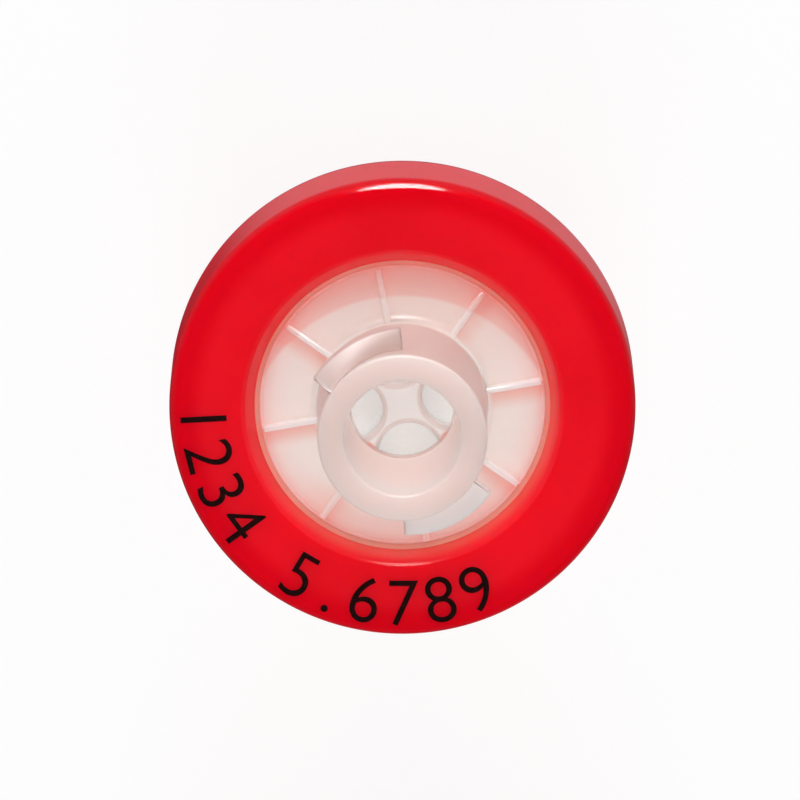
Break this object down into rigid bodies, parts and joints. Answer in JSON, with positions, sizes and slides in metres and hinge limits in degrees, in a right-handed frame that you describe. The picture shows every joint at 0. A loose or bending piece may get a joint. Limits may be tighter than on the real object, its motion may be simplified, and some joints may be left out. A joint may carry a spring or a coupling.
{
  "type": "syringe filter",
  "caption": "Small disc filter with a luer-lock inlet hub, a slip-fit outlet nozzle and a coloured ring moulded round its rim, for clearing liquid samples pushed from a syringe.",
  "frame": {"origin": "centre of the inlet hub's mouth, where the syringe's luer cone enters", "axes": "+Z along the flow axis, out of the inlet; the outlet nozzle points down -Z; the locking lugs' low ends lie near +Y and -Y"},
  "size_m": [0.0174, 0.0174, 0.0185],
  "materials": {
    "inlet_body": "translucent satin polypropylene",
    "membrane": "matt white membrane",
    "outlet_body": "translucent satin polypropylene",
    "ring": "glossy faces with a fine matt side wall"
  },
  "bodies": {
    "root": {"inlet_housing": "inlet_body", "membrane": "membrane", "outlet_housing": "outlet_body", "overmould_ring": "ring"}
  },
  "joints": []
}
